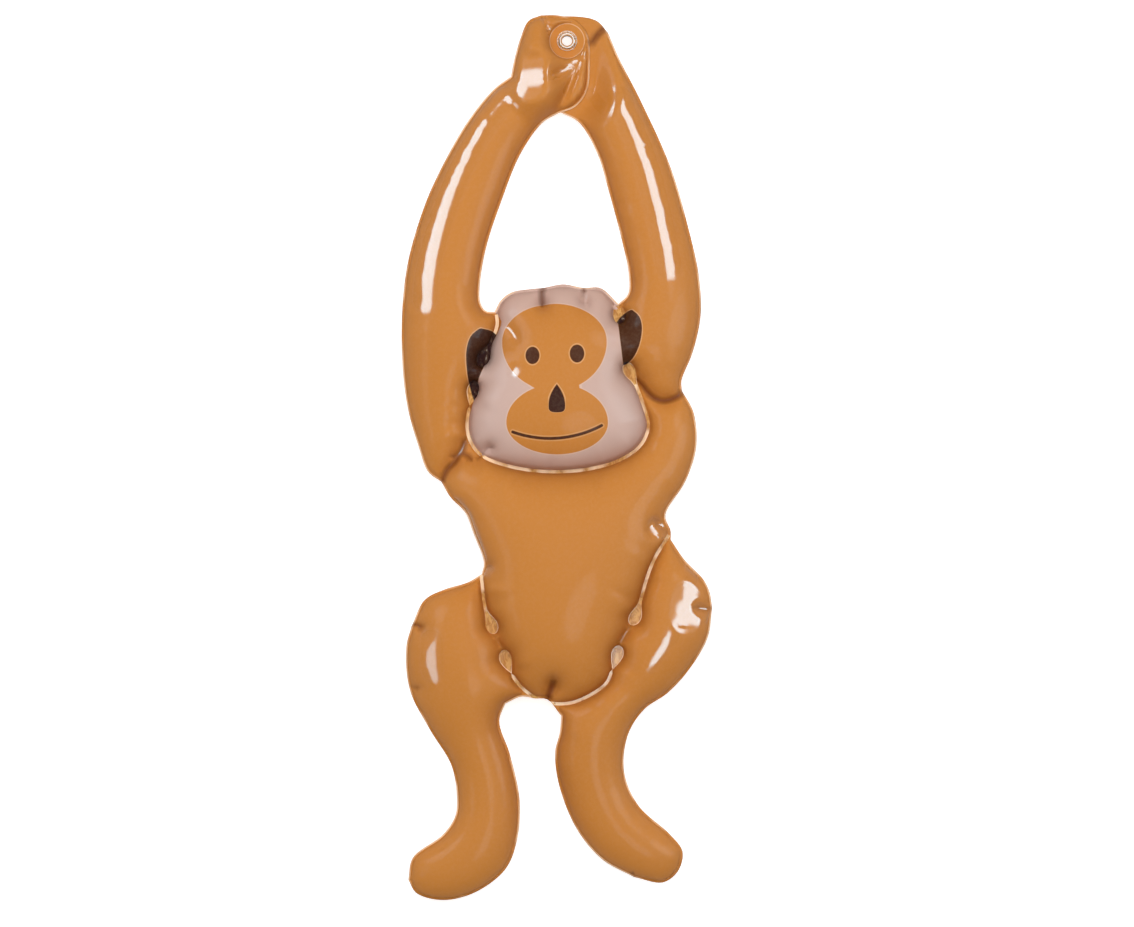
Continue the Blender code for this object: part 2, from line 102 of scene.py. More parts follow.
# Outline of the figure, in thousandths of its height from the middle
OUTLINE = {
    "left hand": [(-19, 499), (-33, 493), (-42, 474), (-49, 450), (-53, 430)],
    "left arm outside": [
        (-53, 430), (-72, 416), (-100, 382), (-129, 332), (-152, 280), (-171, 210), (-176, 130),
        (-170, 60), (-156, 9), (-146, -17), (-131, -28),
    ],
    "left flank": [(-131, -28), (-121, -45), (-104, -63), (-95, -86), (-83, -120), (-86, -132)],
    "left thigh": [(-86, -132), (-101, -141), (-127, -149), (-150, -161), (-165, -191)],
    "left shin": [
        (-165, -191), (-171, -215), (-167, -263), (-145, -307), (-120, -349), (-114, -387),
        (-116, -406), (-130, -427), (-164, -453), (-169, -478),
    ],
    "left foot": [
        (-169, -478), (-160, -493), (-131, -501), (-95, -493), (-60, -467), (-47, -437), (-43, -390),
        (-54, -336), (-66, -298), (-59, -278),
    ],
    "crotch": [(-59, -278), (-41, -270), (-26, -272), (-12, -273), (4, -292)],
    "right calf": [(4, -292), (2, -312), (-3, -332), (1, -369), (21, -420), (50, -455), (86, -475)],
    "right foot": [
        (86, -475), (119, -481), (136, -468), (141, -446), (126, -426), (91, -394), (75, -356),
        (79, -314), (97, -285), (124, -266), (147, -241), (169, -204), (174, -170),
    ],
    "right thigh": [(174, -170), (171, -152), (164, -138), (142, -115), (127, -93)],
    "right flank": [(127, -93), (127, -83), (121, -66), (144, -27), (156, 11), (153, 50), (140, 74)],
    "right arm outside": [
        (140, 74), (139, 85), (152, 118), (161, 160), (159, 205), (148, 256), (128, 326),
        (93, 404), (70, 449), (57, 479),
    ],
    "right hand": [
        (57, 479), (44, 493), (18, 498), (-9, 495), (-24, 476), (-27, 448), (-18, 415), (4, 389),
    ],
    "right arm inside": [
        (4, 389), (24, 378), (45, 342), (57, 302), (72, 245), (80, 205), (79, 183), (68, 172),
    ],
    "head top": [
        (68, 172), (48, 190), (29, 190), (6, 194), (-16, 190), (-27, 189), (-52, 185), (-64, 176),
        (-71, 163),
    ],
    "left arm inside": [
        (-71, 163), (-81, 164), (-87, 173), (-88, 190), (-81, 235), (-64, 288), (-42, 343), (-18, 377),
        (0, 388),
    ],
    "left hand edge": [
        (0, 388), (20, 396), (33, 414), (36, 446), (34, 476), (24, 491), (17, 495), (0, 499),
        (-19, 499),
    ],
}

# Where the right forearm, which lies under the left hand, is parted, and where each hand starts
RIGHT_ARM_CUT = 349
RIGHT_HAND_FROM = 360
LEFT_HAND_FROM = 375

# The head's lower edge, which its weld line and its pink share
CHIN = [
    (-102, 36), (-98, 17), (-86, 2), (-60, -9), (-20, -16), (25, -15), (66, -5), (92, 12), (102, 34),
    (95, 62),
]

# Weld lines inside the figure, each with its two ends: a rounded drop, or open to the edge weld
SEAMS = [
    ([(-69, 160), (-68, 149), (-74, 131), (-88, 102)], "open", "drop"),
    ([(-93, 85), (-98, 62), *CHIN, (86, 85), (76, 106)], "drop", "drop"),
    ([(67, 170), (69, 161), (69, 150)], "open", "drop"),
    ([(-86, -133), (-84, -152), (-81, -172), (-75, -187), (-71, -199)], "open", "drop"),
    ([
        (-61, -217), (-58, -230), (-47, -252), (-33, -266), (-14, -276), (14, -277), (40, -266),
        (55, -254), (61, -240), (67, -222), (69, -212),
    ], "drop", "drop"),
    ([(82, -189), (88, -178), (95, -155), (100, -137), (109, -114), (125, -88)], "drop", "open"),
]

EYELET_AT = (10.4, 470)
EYELET_LEVEL = LIMB_LEVEL + 0.0005
BODY_AXIS = [(0, -130), (0, 90)]

# Folds in the film: a line, its half width, its firmness and how much shade is painted into its bottom
FOLDS = [
    ([(-131, -28), (-124, -14), (-115, -5), (-108, 8), (-104, 18)], 6, 30, 0.9),
    ([(-117, 2), (-105, 3), (-97, -2)], 5, 20, 0.8),
    ([(140, 72), (131, 66), (119, 63), (109, 66), (101, 73), (92, 84), (82, 92)], 6, 34, 1),
    ([(-60, 148), (-53, 142), (-46, 132)], 5, 0.7, 0),
    ([(-19, 499), (-13, 490), (-9, 478)], 4, 5, 0),
    ([(-2, 429), (8, 436), (22, 447)], 6, 5, 0),
    ([(26, 453), (19, 432), (9, 410), (0, 393)], 5, 8, 0),
    ([(52, 484), (45, 477), (38, 468)], 8, 16, 0.9),
    ([(-12, -274), (-9, -264), (-5, -254)], 8, 34, 1),
    ([(-17, 191), (-18, 181), (-17, 171)], 6, 40, 1),
    ([(31, 191), (30, 187), (30, 184)], 4.5, 38, 0.9),
    ([(31, 181), (31, 176), (32, 170)], 4, 16, 0),
    ([(-168, -190), (-160, -189), (-153, -192)], 4, 18, 0.8),
    ([(-163, -258), (-156, -260)], 4, 3, 0.4),
    ([(175, -172), (166, -171), (156, -169)], 5, 6, 0.4),
    ([(-88, -128), (-80, -124), (-74, -122)], 4, 10, 0.2),
    ([(127, -86), (118, -80), (110, -73)], 5, 10, 0.2),
    ([(86, -475), (84, -468)], 3, 5, 0.8),
    ([(-70, -202), (-67, -208), (-62, -214)], 4, 12, 0.4),
    ([(81, -192), (75, -200), (70, -209)], 4, 14, 0.5),
    ([(-94, -4), (-88, -1), (-79, 10), (-72, 11)], 3.5, 8, 0.5),
]

# Where the film is glossiest: lines, and how far the gloss reaches
GLOSSY = [
    ([(-61, 403), (-96, 348), (-128, 276), (-146, 205), (-148, 176)], 19),
    ([(70, 402), (98, 330), (116, 258), (124, 214)], 20),
    ([(-38, 424), (-22, 425)], 12),
    ([(-41, 413), (-50, 396)], 9),
    ([(-20, 426), (-6, 428)], 8),
    ([(0, 430), (9, 436), (22, 447)], 6),
    ([(26, 456), (19, 432), (10, 412)], 7),
    ([(-20, 500), (-14, 490), (-9, 478)], 5),
    ([(38, 412), (52, 390)], 9),
    ([(-108, 4), (-99, 20)], 5),
    ([(-141, -205), (-140, -240)], 17),
    ([(150, -127), (148, -166)], 10),
    ([(146, -172), (158, -176)], 17),
    ([(140, -182), (126, -204)], 11),
    ([(126, -204), (104, -238)], 6),
    ([(-112, -52), (-97, -80), (-87, -114)], 9),
    ([(108, -74), (117, -86)], 9),
    ([(-57, 145), (-52, 139), (-47, 132)], 3),
    ([(-48, 97), (-47, 94)], 6),
    ([(31, 183), (32, 171)], 3),
    ([(-85, -130), (-75, -126)], 6),
    ([(80, -194), (71, -207)], 3),
]

# Where the film is pulled flat: centre, depth in metres, tilt and the way it faces in degrees, reach
FLATS = [
    ((-28, 418), 0.0078, 25, 150, 42),
    ((147, -167), 0.0014, 26, 5, 30),
    ((112, -80), 0.0012, 27, 5, 15),
    ((-47.5, 95.5), 0.0006, 30, 148, 8),
]

# What is printed on the front, in thousandths of the figure's height
HEAD_SIDES = [
    (-71, 163), (-63, 152), (-67, 140), (-72, 131), (-78, 117), (-83, 101), (-89, 86), (-92, 72),
    (-98, 50), *CHIN, (85, 85), (74, 103), (71, 120), (68, 146), (67, 158), (68, 172),
]
LEFT_EAR = [
    (-87, 144), (-97, 135), (-102, 118), (-101, 92), (-97, 72), (-93, 62), (-86, 66), (-76, 96),
    (-66, 128), (-72, 140), (-87, 144),
]
RIGHT_EAR = [
    (83, 165), (91, 157), (94, 143), (90, 122), (82, 108), (73, 103), (64, 108), (60, 135),
    (66, 151), (75, 161), (83, 165),
]
# Upper and lower half of the face: centre, half width, reach up, reach down
FACE_LOBES = [((-3.8, 128.6), 58.5, 42.4, 55.3), ((-0.6, 38.0), 56.7, 42.8, 35.3)]
EYES = [((-28.0, 112.8), 7.7, 9.6), ((21.5, 114.8), 8.0, 9.9)]
NOSE_X, NOSE_HALF, NOSE_TOP, NOSE_WIDEST, NOSE_BOTTOM = -0.9, 9.2, 80.6, 56.5, 49.4
MOUTH = [(-50.1, 27.7), (-10.0, 20.5), (48.9, 34.9)]
MOUTH_HALF = 1.6
PRINT_BLUR = 0.12  # millimetres
PRINT_RIM_AT = -0.35  # the pale rim lies just outside the print, in millimetres

# Colours of the film and its print, and of the highlights painted on it
ORANGE = (0.522, 0.197, 0.035)
PINK = (0.562, 0.390, 0.334)
BROWN = (0.020, 0.002, 0.001)
NOSE_BROWN = (0.018, 0.001, 0.001)
WELD_GOLD = (0.630, 0.340, 0.092)
EYE_BROWN = (0.030, 0.004, 0.001)
MOUTH_BROWN = (0.045, 0.012, 0.004)
PATCH_RIM = (0.86, 0.62, 0.44)
EAR_RIM = (0.80, 0.50, 0.28)
PRINT_RIM = (0.86, 0.58, 0.32)
DISC_RING_HIGHLIGHT = (0.80, 0.55, 0.33)
EDGE_GLINT = (0.88, 0.62, 0.40)

# The lamps' radiance, and the tint of those that are seen in the gloss
LAMP = 13.5
DIM_LAMP = 6.5
COOL_WHITE = (0.55, 0.85, 1.0)


def at(point):
    """A point of the lists above in metres."""
    return np.array(point, float) * HEIGHT / 1000


def blend(t, low, high, p, q):
    """What lies between two points as t lies between two knots."""
    return (high - t) / (high - low) * p + (t - low) / (high - low) * q


def smooth_curve(points, step):
    """Evenly spaced points on a centripetal Catmull-Rom curve through the given ones."""
    given = [at(p) for p in points]
    ends = [2 * given[0] - given[1], *given, 2 * given[-1] - given[-2]]
    fine = []
    for a, b, c, d in zip(ends, ends[1:], ends[2:], ends[3:]):
        knots = [0.0]
        for p, q in ((a, b), (b, c), (c, d)):
            knots.append(knots[-1] + max(np.linalg.norm(q - p) ** 0.5, 1e-6))
        for t in np.linspace(knots[1], knots[2], 12, endpoint=False):
            sides = zip(knots, knots[1:], (a, b, c), (b, c, d))
            near = [blend(t, *side) for side in sides]
            wide = [blend(t, knots[i], knots[i + 2], near[i], near[i + 1]) for i in (0, 1)]
            fine.append(blend(t, knots[1], knots[2], *wide))
    fine.append(given[-1])
    return evenly(np.array(fine), step)


def run_of(line):
    """How far along a line each of its points is."""
    return np.concatenate([[0], np.cumsum(np.linalg.norm(np.diff(line, axis=0), axis=1))])


def points_on(line, places):
    """The points of a line at the given places along it."""
    return np.stack([np.interp(places, run_of(line), line[:, k]) for k in (0, 1)], axis=1)


def evenly(line, step):
    """The same line with evenly spaced points, its two ends kept."""
    length = run_of(line)[-1]
    return points_on(line, np.linspace(0, length, max(2, round(length / step) + 1)))


def joined(*lines):
    """One line from several that follow each other."""
    return np.concatenate([line[:-1] for line in lines[:-1]] + [lines[-1]])


def clear_of_disc(line):
    """The same line, bowed out where it would come too near the disc round the eyelet."""
    away = line - at(EYELET_AT)
    gap = np.linalg.norm(away, axis=1)
    least = HAND_DISC + WELD_MARGIN + DISC_CLEARANCE
    return at(EYELET_AT) + away * (np.maximum(gap, least) / gap)[:, None]


def parted(line, level):
    """A line cut in two at the point nearest to a height."""
    k = int(np.argmin(abs(line[:, 1] - at((0, level))[1])))
    return line[: k + 1], line[k:]


def normals_of(line, closed):
    """Unit normals to the left of a line's way."""
    if closed:
        ahead, behind = np.roll(line, -1, axis=0), np.roll(line, 1, axis=0)
    else:
        ahead = np.concatenate([line[1:], line[-1:]])
        behind = np.concatenate([line[:1], line[:-1]])
    way = ahead - behind
    way /= np.maximum(np.linalg.norm(way, axis=1), 1e-9)[:, None]
    return np.stack([-way[:, 1], way[:, 0]], axis=1)


def distance_to(points, line):
    """Distance of each point from a line, and how far along the line its foot is."""
    best = np.full(len(points), np.inf)
    where = np.zeros(len(points))
    along = 0.0
    for a, b in zip(line, line[1:]):
        side = b - a
        length = max(np.linalg.norm(side), 1e-9)
        t = np.clip((points - a) @ side / length**2, 0, 1)
        gap = np.hypot(*(points - a - t[:, None] * side).T)
        nearer = gap < best
        best[nearer] = gap[nearer]
        where[nearer] = along + t[nearer] * length
        along += length
    return best, where


def inside(points, loop):
    """Which points lie in a closed loop."""
    found = np.zeros(len(points), bool)
    x, y = points[:, 0], points[:, 1]
    for (ax, ay), (bx, by) in zip(loop, np.roll(loop, -1, axis=0)):
        if ay == by:
            continue
        crosses = ((ay > y) != (by > y)) & (x < (bx - ax) * (y - ay) / (by - ay) + ax)
        found ^= crosses
    return found


def closed(loop):
    """A loop with its first point again at the end."""
    return np.concatenate([loop, loop[:1]])


def circle(centre, radius, count):
    """Points evenly round a circle."""
    turns = 2 * math.pi * np.arange(count) / count
    return centre + radius * np.stack([np.cos(turns), np.sin(turns)], axis=1)


def drop_width(distance):
    """Half width of a rounded drop at a distance from its tip."""
    bulb = DROP_BULB * DROP_LENGTH
    if distance < bulb:
        return DROP_HALF_WIDTH * math.sqrt(1 - (1 - distance / bulb) ** 2)
    rest = min(1, (distance - bulb) / (DROP_LENGTH - bulb))
    return SEAM_HALF_WIDTH + (DROP_HALF_WIDTH - SEAM_HALF_WIDTH) * (1 - rest * rest * (3 - 2 * rest))


def seam_band(points, ends):
    """Centre line of a weld line and its outline as a closed band."""
    fine = smooth_curve(points, FINE_STEP)
    length = run_of(fine)[-1]
    marks = DROP_LENGTH * np.array(DROP_MARKS)
    first, last = (marks if end == "drop" else np.array([0, SEAM_STEP]) for end in ends)
    count = max(2, round((length - first[-1] - last[-1]) / SEAM_STEP) + 1)
    middle = np.linspace(first[-1], length - last[-1], count)
    places = np.concatenate([first[:-1], middle, (length - last[:-1])[::-1]])
    line = points_on(fine, places)
    width = np.array([
        max(
            SEAM_HALF_WIDTH if "open" in ends or min(p, length - p) > DROP_LENGTH else 0,
            drop_width(p) if ends[0] == "drop" and p < DROP_LENGTH else 0,
            drop_width(length - p) if ends[1] == "drop" and length - p < DROP_LENGTH else 0,
        )
        for p in places
    ])
    tips = np.zeros(len(places), bool)
    tips[[0, -1]] = ends[0] == "drop", ends[1] == "drop"
    width[tips] = 0
    side = normals_of(line, closed=False)
    upper = line + side * width[:, None]
    lower = (line - side * width[:, None])[~tips]
    return line, np.concatenate([upper, lower[::-1]])


class Spread:
    """Points that keep their distance from each other, looked up in a grid."""

    def __init__(self, cell):
        self.cell = cell
        self.grid = {}

    def gap(self, p, reach):
        i, j = int(p[0] // self.cell), int(p[1] // self.cell)
        return min(
            (
                math.hypot(p[0] - q[0], p[1] - q[1])
                for a in (i - 1, i, i + 1)
                for b in (j - 1, j, j + 1)
                for q in self.grid.get((a, b), ())
            ),
            default=reach,
        )

    def add(self, p):
        self.grid.setdefault((int(p[0] // self.cell), int(p[1] // self.cell)), []).append(p)


class Sheet:
    """A flat sheet as points and triangles, cut to a welded edge and to a free one."""

    def __init__(self, edge, cut, bands, hole, disc, folds, inner):
        inward = normals_of(edge, closed=False)
        margin = edge + inward * WELD_MARGIN
        margin[0], margin[-1] = cut[-2], cut[1]
        outline = np.concatenate([edge, cut[1:-1]])
        self.outline = outline
        points, edges, groups = [], [], {}
        for name, line, is_closed in (
            ("outline", outline, True),
            ("margin", margin[1:-1], False),
            ("hole", hole, True),
            ("disc", disc, True),
            *((f"band {k}", band, True) for k, band in enumerate(bands)),
            *((f"fold {k}", fold, False) for k, fold in enumerate(folds)),
        ):
            start = len(points)
            count = len(line)
            groups[name] = np.arange(start, start + count)
            edges += [(start + k, start + k + 1) for k in range(count - 1)]
            if is_closed:
                edges.append((start + count - 1, start))
            points += [tuple(p) for p in line]
        inner_cut = groups["outline"][len(edge) :]
        edges.append((inner_cut[-1], groups["margin"][0]))
        edges.append((groups["margin"][-1], inner_cut[0]))
        fixed = Spread(2 * STEP)
        for p in points:
            fixed.add(p)
        free = Spread(2 * STEP)
        kept = []
        beside = [
            np.concatenate([
                edge + inward * (WELD_MARGIN + r),
                *(band + normals_of(band, closed=True) * r for band in bands),
                circle(hole.mean(axis=0), HAND_DISC + r, len(disc)),
                *(fold + normals_of(fold, closed=False) * r * way for fold in folds for way in (1, -1)),
            ])
            for r in RINGS
        ]
        # Points to add, with their least distance from the lines' points and from each other
        stages = [
            (beside[0], 0.80 * RINGS[0], 0.50 * STEP),
            (beside[1], 0.70 * STEP, 0.62 * STEP),
            (lattice(outline), 0.80 * STEP, 0.72 * STEP),
        ]
        for candidates, from_fixed, from_free in stages:
            ok = inside(candidates, outline)
            for band in bands:
                ok &= ~inside(candidates, band)
            for p in candidates[ok].tolist():
                if fixed.gap(p, 1) > from_fixed and free.gap(p, 1) > from_free:
                    free.add(p)
                    kept.append(p)
        everything = [Vector(p) for p in [*points, *kept, *inner]]
        out = delaunay_2d_cdt(everything, [(int(a), int(b)) for a, b in edges], [], 0, 1e-7)
        self.points = np.array([tuple(p) for p in out[0]])
        faces = np.array(out[2])
        middles = self.points[faces].mean(axis=1)
        self.faces = turned_up(self.points, faces[inside(middles, outline) & ~inside(middles, hole)])
        place = {given: k for k, found in enumerate(out[3]) for given in found}
        groups["cut"] = np.append(groups["outline"][len(edge) - 1 :], groups["outline"][0])
        self.place = {name: np.array([place[int(g)] for g in group]) for name, group in groups.items()}
        self.welded = distance_to(self.points, edge)[0] < 1.02 * WELD_MARGIN
        for loop in (disc, *bands):
            self.welded |= inside(self.points, loop)
        for name, group in self.place.items():
            if name.startswith(("margin", "disc", "band")):
                self.welded[group] = True


def lattice(outline):
    """Points in a triangular pattern over an outline's box."""
    least, most = outline.min(axis=0), outline.max(axis=0)
    height = STEP * math.sqrt(3) / 2
    rows = []
    for k in range(int((most[1] - least[1]) / height) + 1):
        xs = np.arange(least[0] + (k % 2) * STEP / 2, most[0], STEP)
        rows.append(np.stack([xs, np.full(len(xs), least[1] + k * height)], axis=1))
    return np.concatenate(rows)


def turned_up(points, faces):
    """Faces that look up, the empty ones left out."""
    a, b, c = (points[faces[:, k]] for k in range(3))
    area = (b[:, 0] - a[:, 0]) * (c[:, 1] - a[:, 1]) - (b[:, 1] - a[:, 1]) * (c[:, 0] - a[:, 0])
    faces, area = faces[abs(area) > 4e-9], area[abs(area) > 4e-9]
    return np.where((area > 0)[:, None], faces, faces[:, ::-1])


def swell(points, faces, welded, hold):
    """Half the depth of the air chamber over each point.

    A soap film over the sheet, held down at the welds and along the folds, has
    the height u, and the root of 2u is round over a narrow limb.
    """
    a, b, c = (points[faces[:, k]] for k in range(3))
    count = len(points)
    area = 0.5 * ((b[:, 0] - a[:, 0]) * (c[:, 1] - a[:, 1]) - (b[:, 1] - a[:, 1]) * (c[:, 0] - a[:, 0]))
    ends, weights = [], []
    for k, (p, q, r) in enumerate(((a, b, c), (b, c, a), (c, a, b))):
        weights.append(np.einsum("ij,ij->i", q - p, r - p) / (4 * area))
        ends.append(faces[:, [(k + 1) % 3, (k + 2) % 3]])
    ends, weights = np.concatenate(ends), np.clip(np.concatenate(weights), *WEIGHT_LIMITS)
    lump = np.bincount(faces.ravel(), np.repeat(area / 3, 3), count)
    diagonal = np.bincount(ends[:, 0], weights, count) + np.bincount(ends[:, 1], weights, count)
    diagonal += lump * (1 / FULLNESS**2 + hold)
    diagonal = np.maximum(diagonal, 1e-12)
    free = ~welded

    def applied(u):
        across = np.bincount(ends[:, 0], weights * u[ends[:, 1]], count)
        across += np.bincount(ends[:, 1], weights * u[ends[:, 0]], count)
        return np.where(free, diagonal * u - across, 0)

    u = np.zeros(count)
    left = np.where(free, lump, 0)
    way = left / diagonal
    size = left @ way
    first = size
    for _ in range(MOST_ROUNDS):
        out = applied(way)
        share = size / (way @ out)
        u += share * way
        left -= share * out
        fresh = left @ (left / diagonal)
        if fresh < ERROR_LEFT * first:
            break
        way = left / diagonal + fresh / size * way
        size = fresh
    return np.sqrt(2 * np.clip(u, 0, None))


def step_between(value, least, most):
    """A soft step from 0 at the least value to 1 at the most."""
    t = np.clip((value - least) / (most - least), 0, 1)
    return t * t * (3 - 2 * t)


def off_the_floor(height):
    """The height, but never under the floor, with a soft turn where it leaves it."""
    turn = (height + FLOOR_EASE) ** 2 / (4 * FLOOR_EASE)
    return np.where(height < -FLOOR_EASE, 0, np.where(height > FLOOR_EASE, height, turn))


def held_by_folds(points):
    """How firmly the folds hold each point down, and how much shade is painted along them there."""
    hold = np.zeros(len(points))
    depth = np.zeros(len(points))
    for line, half_width, firmness, painted_shade in FOLDS:
        width = half_width * HEIGHT / 1000
        gap, _ = distance_to(points, smooth_curve(line, FOLD_STEP))
        share = np.clip(1 - (gap / width) ** 2, 0, 1) ** 2
        hold = np.maximum(hold, firmness / width**2 * share)
        # painted shade: share by which the colour is darkened along each fold's bottom
        depth = np.maximum(depth, painted_shade * np.clip(1.3 - gap / (0.6 * width), 0, 1))
    return hold, depth


def seam_level(points):
    """Height of the seam above the floor: highest at the chest."""
    gap, _ = distance_to(points, np.array([at(p) for p in BODY_AXIS]))
    return LIMB_LEVEL + (CHEST_LEVEL - LIMB_LEVEL) * (1 - step_between(gap, CHEST_REACH, LIMB_REACH))


def noise_along(where, wavelength, seed):
    """Smooth noise between -1 and 1 along a line."""
    values = np.random.RandomState(seed).uniform(-1, 1, 4096)
    t = where / wavelength
    k = np.floor(t).astype(int)
    f = t - k
    f = f * f * (3 - 2 * f)
    return values[k % 4096] * (1 - f) + values[(k + 1) % 4096] * f


def two_waves(where, waves, seed):
    """Noise of two wavelengths along a line, the first one stronger."""
    return 0.6 * noise_along(where, waves[0], seed) + 0.4 * noise_along(where, waves[1], seed + 1)


def film_edges():
    """The outline's lines, the edges of the sheet and the right forearm, and the cut between."""
    lines = {name: clear_of_disc(smooth_curve(points, STEP)) for name, points in OUTLINE.items()}
    outer_low, outer_high = parted(lines["right arm outside"], RIGHT_ARM_CUT)
    inner_high, inner_low = parted(lines["right arm inside"], RIGHT_ARM_CUT)
    across = inner_low[0] - outer_low[-1]
    step_in = across / np.linalg.norm(across) * WELD_MARGIN
    middle = evenly(np.array([outer_low[-1] + step_in, inner_low[0] - step_in]), STEP)
    cut = np.concatenate([outer_low[-1:], middle, inner_low[:1]])
    names = list(OUTLINE)
    from_head = names[names.index("head top") :] + names[: names.index("right arm outside")]
    main_edge = joined(inner_low, *(lines[name] for name in from_head), outer_low)
    forearm_edge = joined(outer_high, lines["right hand"], inner_high)
    return lines, main_edge, forearm_edge, cut


def puckered(air, points, is_forearm, main_edge, forearm_edge, bands):
    """The film's rise with its puckers, and each point's distance from the edge weld."""
    main_gap, main_along = distance_to(points, main_edge)
    arm_gap, arm_along = distance_to(points, forearm_edge)
    gap = np.where(is_forearm, arm_gap, main_gap) - WELD_MARGIN
    where = np.where(is_forearm, arm_along + FOREARM_START, main_along)
    pucker = two_waves(where, PUCKER_WAVES, 3)
    pucker *= 0.55 + 0.45 * noise_along(where, PUCKER_PATCHES, 5)
    air = air * (1 + PUCKER * pucker * np.exp(-np.clip(gap, 0, None) / PUCKER_REACH))
    for band in bands:
        from_band, along_band = distance_to(points, closed(band))
        ripple = SEAM_PUCKER * two_waves(along_band, SEAM_PUCKER_WAVES, 6)
        air = air * (1 + np.where(is_forearm, 0, ripple * np.exp(-from_band / SEAM_PUCKER_REACH)))
    return air, gap


def share_of_hand(points, outline, hand, starts_at):
    """How far a point follows its hand to the eyelet."""
    gap, _ = distance_to(points, hand)
    in_hand = inside(points, outline) & (points[:, 1] > at((0, starts_at))[1])
    return 1 - step_between(np.where(in_hand, 0, gap), HAND_EASE, HAND_REACH)


def pull_flat(front, points, is_forearm):
    """Presses the front film down to a tilted plane at each of the flats."""
    for centre, depth, tilt, way, reach in FLATS:
        apart = points - at(centre)
        from_centre = np.linalg.norm(apart, axis=1) + is_forearm
        turn = math.radians(way)
        slope = -math.tan(math.radians(tilt)) * np.array([math.cos(turn), math.sin(turn)])
        above = front[:, 2] - (front[np.argmin(from_centre), 2] - depth + apart @ slope)
        pressed_in = (above + np.hypot(above, FLAT_EASE)) / 2
        front[:, 2] -= pressed_in * (1 - step_between(from_centre * 1000 / HEIGHT, 0.7 * reach, reach))


def wall(upper, lower):
    """Faces between two rings of points."""
    return list(zip(upper, np.roll(upper, -1), np.roll(lower, -1), lower))


def rim_edges(faces):
    """Edges that only one face has."""
    ways = set()
    for a, b, c in faces.tolist():
        ways |= {(a, b), (b, c), (c, a)}
    return [(a, b) for a, b in sorted(ways) if (b, a) not in ways]


def film():
    """The film's points and faces, with their materials and what the print reads."""
    lines, main_edge, forearm_edge, cut = film_edges()
    hole = circle(at(EYELET_AT), EYELET_BARREL + EYELET_CLEARANCE, HOLE_SIDES)
    disc = circle(at(EYELET_AT), HAND_DISC, DISC_SIDES)
    seams = [seam_band(points, ends) for points, *ends in SEAMS]
    bands = [band for _, band in seams]
    folds = [smooth_curve(line, FOLD_STEP)[2:-1] for line, *_ in FOLDS]
    inner = [
        point
        for line, band in seams
        for point in line
        if distance_to(point[None], closed(band))[0][0] > 1.3 * SEAM_HALF_WIDTH
    ]
    main = Sheet(main_edge, cut, bands, hole, disc, folds, inner)
    forearm = Sheet(forearm_edge, cut[::-1], [], hole, disc, [], [])

    # The forearm's points follow the main sheet's, and those of the cut are shared
    shift = len(main.points)
    merged = np.arange(len(forearm.points)) + shift
    merged[forearm.place["cut"][::-1]] = main.place["cut"]
    points = np.concatenate([main.points, forearm.points])
    faces = np.concatenate([main.faces, merged[forearm.faces]])
    welded = np.concatenate([main.welded, forearm.welded])
    is_forearm = np.arange(len(points)) >= shift

    # Both hands are brought to the eyelet, the left one over the right
    air = swell(points, faces, welded, held_by_folds(points)[0])
    air, gap = puckered(air, points, is_forearm, main_edge, forearm_edge, bands)
    half = FILM_PAIR / 2 + air
    level = seam_level(points)
    over = share_of_hand(points, forearm.outline, lines["right hand"], RIGHT_HAND_FROM)
    under = share_of_hand(points, main.outline, lines["left hand edge"], LEFT_HAND_FROM)
    level = np.where(
        is_forearm,
        level + under * (EYELET_LEVEL - HAND_GAP / 2 - half - level),
        level + over * (EYELET_LEVEL + HAND_GAP / 2 + half - level),
    )
    front = np.column_stack([points, level + half])
    pull_flat(front, points, is_forearm)
    back = np.column_stack([points, off_the_floor(level - half)])

    # Front and back faces: inside the disc the two hands are one
    count = len(points)
    middles = points[faces].mean(axis=1)
    in_disc = inside(middles, disc)
    from_main = np.arange(len(faces)) < len(main.faces)
    top_kept = ~(in_disc & ~from_main)
    under_kept = ~(in_disc & from_main)
    flat = welded[faces].all(axis=1)
    in_band = np.zeros(len(faces), bool)
    for band in bands:
        in_band |= inside(middles, band)
    seam = flat & from_main & in_band
    made = faces[top_kept].tolist() + (faces[under_kept][:, ::-1] + count).tolist()
    looks = np.where(seam[top_kept], WELD, FRONT).tolist() + np.where(seam[under_kept], WELD, BACK).tolist()
    pressed = flat[top_kept].tolist() + flat[under_kept].tolist()

    # Walls in the eyelet's hole, round the disc and along the edge
    rim_main, rim_forearm = main.place["hole"], merged[forearm.place["hole"]]
    made += wall(rim_main, rim_forearm + count)
    made += wall(merged[forearm.place["disc"]], main.place["disc"] + count)
    looks += [WELD] * (len(hole) + len(disc))
    at_hole = {*rim_main.tolist(), *rim_forearm.tolist()}
    edge_walls = [(b, a, a + count, b + count) for a, b in rim_edges(faces) if not {a, b} <= at_hole]
    made += edge_walls
    looks += [FRONT] * len(edge_walls)
    pressed += [True] * (len(made) - len(pressed))

    in_seam = np.zeros(len(points))
    for band in bands:
        from_band, _ = distance_to(points, closed(band))
        in_seam = np.maximum(in_seam, np.where(inside(points, band), from_band, 0))
    to_edge = np.clip(gap + WELD_MARGIN, 0, 0.02)
    return np.concatenate([front, back]), made, looks, pressed, points, in_seam * 1000, to_edge * 1000


def crease(mesh, pressed):
    """Marks the edges between pressed and blown-up film as sharp."""
    both = [set() for _ in mesh.edges]
    for polygon, flat in zip(mesh.polygons, pressed):
        for loop in polygon.loop_indices:
            both[mesh.loops[loop].edge_index].add(flat)
    sharp = mesh.attributes.new("sharp_edge", "BOOLEAN", "EDGE")
    sharp.data.foreach_set("value", [len(flats) > 1 for flats in both])


def reach_into(points, loop):
    """Signed distance to a loop's edge in millimetres, positive inside it."""
    gap, _ = distance_to(points, closed(loop))
    return np.clip(np.where(inside(points, loop), gap, -gap) * 1000, -FARTHEST, FARTHEST)


